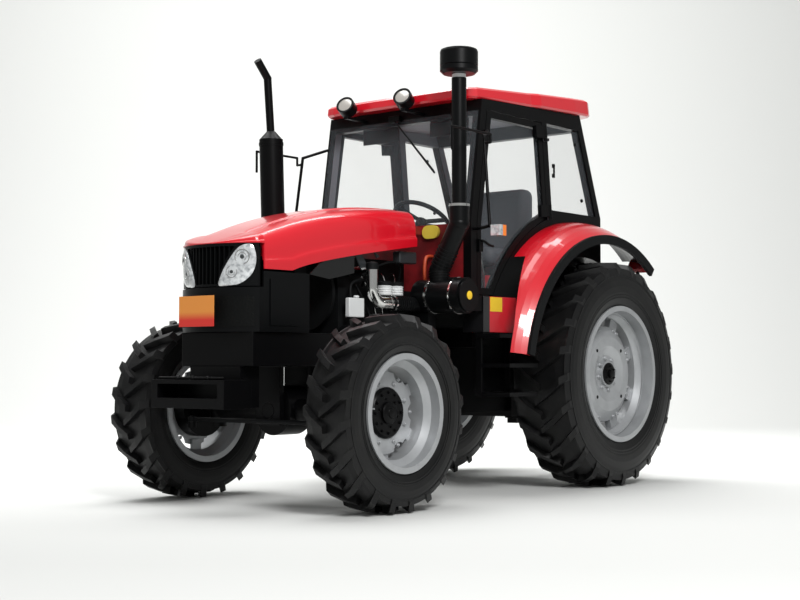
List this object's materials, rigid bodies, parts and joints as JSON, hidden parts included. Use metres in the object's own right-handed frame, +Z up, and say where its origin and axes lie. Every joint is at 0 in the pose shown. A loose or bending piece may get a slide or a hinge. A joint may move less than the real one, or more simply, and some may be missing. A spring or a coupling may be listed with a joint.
{
  "type": "farm tractor",
  "caption": "Four-wheel-drive farm tractor with a closed cab, opening bonnet and doors, steered front wheels, rear three-point linkage and a front tow bracket.",
  "frame": {"origin": "on the ground, at the middle of the overall length and width", "axes": "+X forward, +Y to the left, +Z up"},
  "size_m": [4.09, 1.908, 2.76],
  "materials": {
    "red_paint": "gloss",
    "black_paint": "satin",
    "grey_metal": "satin",
    "black_plastic": "satin",
    "orange_plate": "satin",
    "silver_paint": "satin",
    "bright_steel": "polished",
    "tyre_rubber": "matte",
    "rubber_trim": "matte",
    "floor_mat": "matte",
    "clear_glass": "clear",
    "lamp_lens": "clear",
    "amber_lens": "clear",
    "red_lens": "clear",
    "seat_cover": "matte"
  },
  "bodies": {
    "chassis": {"front_frame": "black_paint", "tow_bracket": "black_paint", "radiator": "grey_metal", "engine": "grey_metal", "transmission": "black_paint", "rear_axle": "black_paint", "front_axle": "black_paint", "nose_cowl": "black_plastic", "number_plate": "orange_plate", "exhaust": "black_paint", "air_cleaner": "black_plastic", "intake_stack": "black_plastic", "charge_pipe": "bright_steel", "cab_frame": "black_paint", "left_cab_side": "black_paint", "right_cab_side": "black_paint", "cab_floor": "floor_mat", "firewall": "red_paint", "cab_roof": "red_paint", "cab_glass": "clear_glass", "fenders": "red_paint", "fender_lips": "rubber_trim", "side_boxes": "red_paint", "steps": "black_paint", "seat": "seat_cover", "dashboard": "black_plastic", "mirrors": "black_paint", "lamp_housings": "black_plastic", "lamps": "lamp_lens", "amber_lamps": "amber_lens", "rear_lamps": "red_lens", "drawbar": "black_paint"},
    "left_knuckle": {"left_knuckle": "black_paint"},
    "right_knuckle": {"right_knuckle": "black_paint"},
    "tie_rod": {"tie_rod": "grey_metal"},
    "front_left_wheel": {"front_left_tyre": "tyre_rubber", "front_left_rim": "silver_paint", "front_left_hub": "black_paint"},
    "front_right_wheel": {"front_right_tyre": "tyre_rubber", "front_right_rim": "silver_paint", "front_right_hub": "black_paint"},
    "rear_left_wheel": {"rear_left_tyre": "tyre_rubber", "rear_left_rim": "silver_paint"},
    "rear_right_wheel": {"rear_right_tyre": "tyre_rubber", "rear_right_rim": "silver_paint"},
    "bonnet": {"bonnet": "red_paint", "grille": "black_plastic", "headlamps": "lamp_lens"},
    "left_door": {"left_door": "black_paint", "left_door_glass": "clear_glass"},
    "right_door": {"right_door": "black_paint", "right_door_glass": "clear_glass"},
    "steering_wheel": {"steering_wheel": "black_plastic"},
    "lift_arms": {"lift_arms": "black_paint"},
    "lift_rods": {"lift_rods": "grey_metal"},
    "lower_links": {"lower_links": "black_paint"}
  },
  "joints": [
    {"name": "left_steer", "type": "hinge", "parent": "chassis", "child": "left_knuckle", "pos_m": [1.275, 0.56, 0.551], "axis": [0, 0, 1], "range_deg": [-40, 40]},
    {"name": "right_steer", "type": "hinge", "parent": "chassis", "child": "right_knuckle", "pos_m": [1.275, -0.56, 0.551], "axis": [0, 0, 1], "range_deg": [-40, 40]},
    {"name": "tie_rod_pivot", "type": "hinge", "parent": "left_knuckle", "child": "tie_rod", "pos_m": [1.485, 0.56, 0.491], "axis": [0, 0, 1], "range_deg": [-40, 40]},
    {"name": "front_left_spin", "type": "hinge", "parent": "left_knuckle", "child": "front_left_wheel", "pos_m": [1.275, 0.784, 0.551], "axis": [0, 1, 0], "continuous": true},
    {"name": "front_right_spin", "type": "hinge", "parent": "right_knuckle", "child": "front_right_wheel", "pos_m": [1.275, -0.784, 0.551], "axis": [0, 1, 0], "continuous": true},
    {"name": "rear_left_spin", "type": "hinge", "parent": "chassis", "child": "rear_left_wheel", "pos_m": [-1.025, 0.739, 0.756], "axis": [0, 1, 0], "continuous": true},
    {"name": "rear_right_spin", "type": "hinge", "parent": "chassis", "child": "rear_right_wheel", "pos_m": [-1.025, -0.739, 0.756], "axis": [0, 1, 0], "continuous": true},
    {"name": "bonnet_hinge", "type": "hinge", "parent": "chassis", "child": "bonnet", "pos_m": [0.475, 0, 1.725], "axis": [0, -1, 0], "range_deg": [0, 50]},
    {"name": "left_door_hinge", "type": "hinge", "parent": "chassis", "child": "left_door", "pos_m": [-0.58091, 0.655, 1.84], "axis": [0.1017, 0, 0.9948], "range_deg": [0, 75]},
    {"name": "right_door_hinge", "type": "hinge", "parent": "chassis", "child": "right_door", "pos_m": [-0.58091, -0.655, 1.84], "axis": [-0.1017, 0, -0.9948], "range_deg": [0, 75]},
    {"name": "steering_wheel_spin", "type": "hinge", "parent": "chassis", "child": "steering_wheel", "pos_m": [-0.045, 0, 1.77], "axis": [-0.5736, 0, 0.8192], "continuous": true},
    {"name": "lift", "type": "hinge", "parent": "chassis", "child": "lift_arms", "pos_m": [-1.315, 0, 1.04], "axis": [0, 1, 0], "range_deg": [-15, 35]},
    {"name": "lower_link_pivot", "type": "hinge", "parent": "chassis", "child": "lower_links", "pos_m": [-1.145, 0, 0.5], "axis": [0, 1, 0], "range_deg": [-15, 35]},
    {"name": "lift_rod_pivot", "type": "hinge", "parent": "lift_arms", "child": "lift_rods", "pos_m": [-1.655, 0, 1.04], "axis": [0, 1, 0], "range_deg": [-35, 15]}
  ],
  "couplings": [
    {"joint": "right_steer", "follows": "left_steer", "ratio": 1},
    {"joint": "tie_rod_pivot", "follows": "left_steer", "ratio": -1},
    {"joint": "lower_link_pivot", "follows": "lift", "ratio": 1},
    {"joint": "lift_rod_pivot", "follows": "lift", "ratio": -1}
  ]
}
